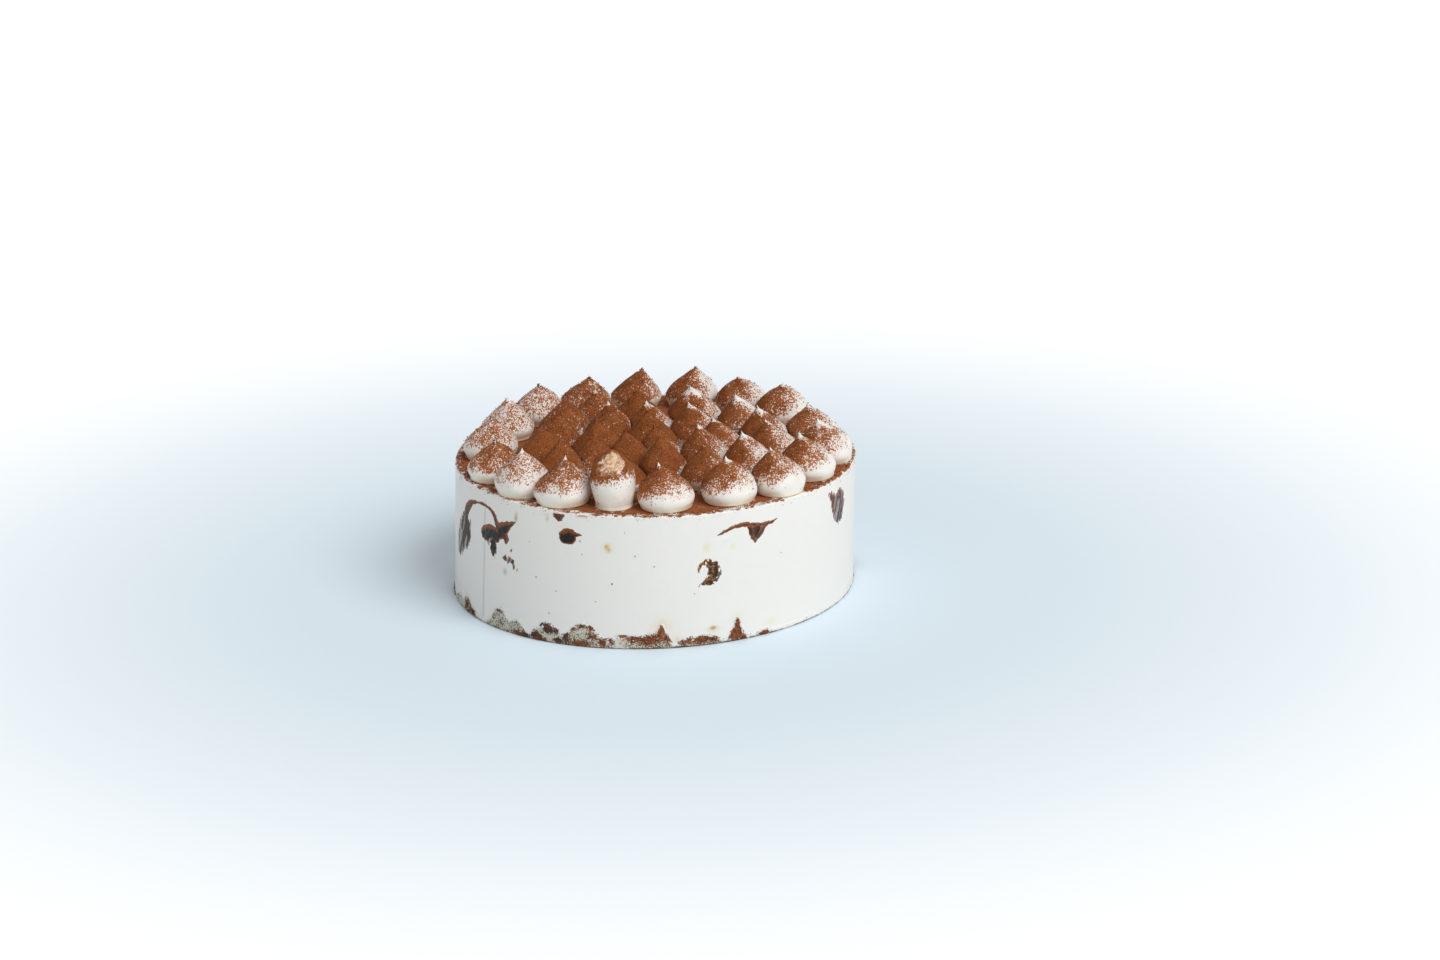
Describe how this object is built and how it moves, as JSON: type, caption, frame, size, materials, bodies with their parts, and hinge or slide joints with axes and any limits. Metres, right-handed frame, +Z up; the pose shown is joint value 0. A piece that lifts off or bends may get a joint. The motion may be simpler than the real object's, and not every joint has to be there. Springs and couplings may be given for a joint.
{
  "type": "tiramisu cake",
  "caption": "Whole round tiramisu cake: a smooth drum of pale cream on a dark sponge, its top covered with piped cream dollops dusted with cocoa.",
  "frame": {"origin": "middle of the flat underside", "axes": "+Z up; the front that the picture shows faces -Y"},
  "size_m": [0.2058, 0.204, 0.0967],
  "materials": {
    "side_cream": "smooth cream with a soft satin sheen, off-white",
    "piped_cream": "soft off-white cream, cocoa dusted over its upper half",
    "cocoa_cream": "cream under a dense dry dusting of matte brown cocoa",
    "sponge": "dark, moist and open-crumbed, smeared with cream",
    "soaked_crumb": "dark soaked crumb, streaked",
    "dark_sauce": "near-black with a wet gloss, brown at its thin edges"
  },
  "bodies": {
    "root": {"sponge_base": "sponge", "sauce_swirl": "dark_sauce", "sauce_fleck": "dark_sauce", "sauce_drop": "dark_sauce", "sauce_dot": "dark_sauce", "sponge_curl": "soaked_crumb", "sauce_wedge": "dark_sauce", "sauce_streak": "dark_sauce", "cream_body": "side_cream", "dollop_outer_1": "piped_cream", "dollop_outer_2": "piped_cream", "dollop_outer_3": "piped_cream", "dollop_outer_4": "piped_cream", "dollop_outer_5": "piped_cream", "dollop_outer_6": "piped_cream", "dollop_outer_7": "piped_cream", "dollop_outer_8": "piped_cream", "dollop_outer_9": "piped_cream", "dollop_outer_10": "piped_cream", "dollop_outer_11": "piped_cream", "dollop_outer_12": "piped_cream", "dollop_outer_13": "piped_cream", "dollop_outer_14": "piped_cream", "dollop_outer_15": "piped_cream", "dollop_outer_16": "piped_cream", "dollop_outer_17": "piped_cream", "dollop_outer_18": "piped_cream", "dollop_middle_1": "cocoa_cream", "dollop_middle_2": "cocoa_cream", "dollop_middle_3": "cocoa_cream", "dollop_middle_4": "cocoa_cream", "dollop_middle_5": "cocoa_cream", "dollop_middle_6": "cocoa_cream", "dollop_middle_7": "cocoa_cream", "dollop_middle_8": "cocoa_cream", "dollop_middle_9": "cocoa_cream", "dollop_middle_10": "cocoa_cream", "dollop_middle_11": "cocoa_cream", "dollop_middle_12": "cocoa_cream", "dollop_middle_13": "cocoa_cream", "dollop_middle_14": "cocoa_cream", "dollop_middle_15": "cocoa_cream", "dollop_inner_1": "cocoa_cream", "dollop_inner_2": "cocoa_cream", "dollop_inner_3": "cocoa_cream", "dollop_inner_4": "cocoa_cream", "dollop_inner_5": "cocoa_cream", "dollop_inner_6": "cocoa_cream", "dollop_inner_7": "cocoa_cream", "dollop_inner_8": "cocoa_cream", "dollop_centre_1": "cocoa_cream"}
  },
  "joints": []
}
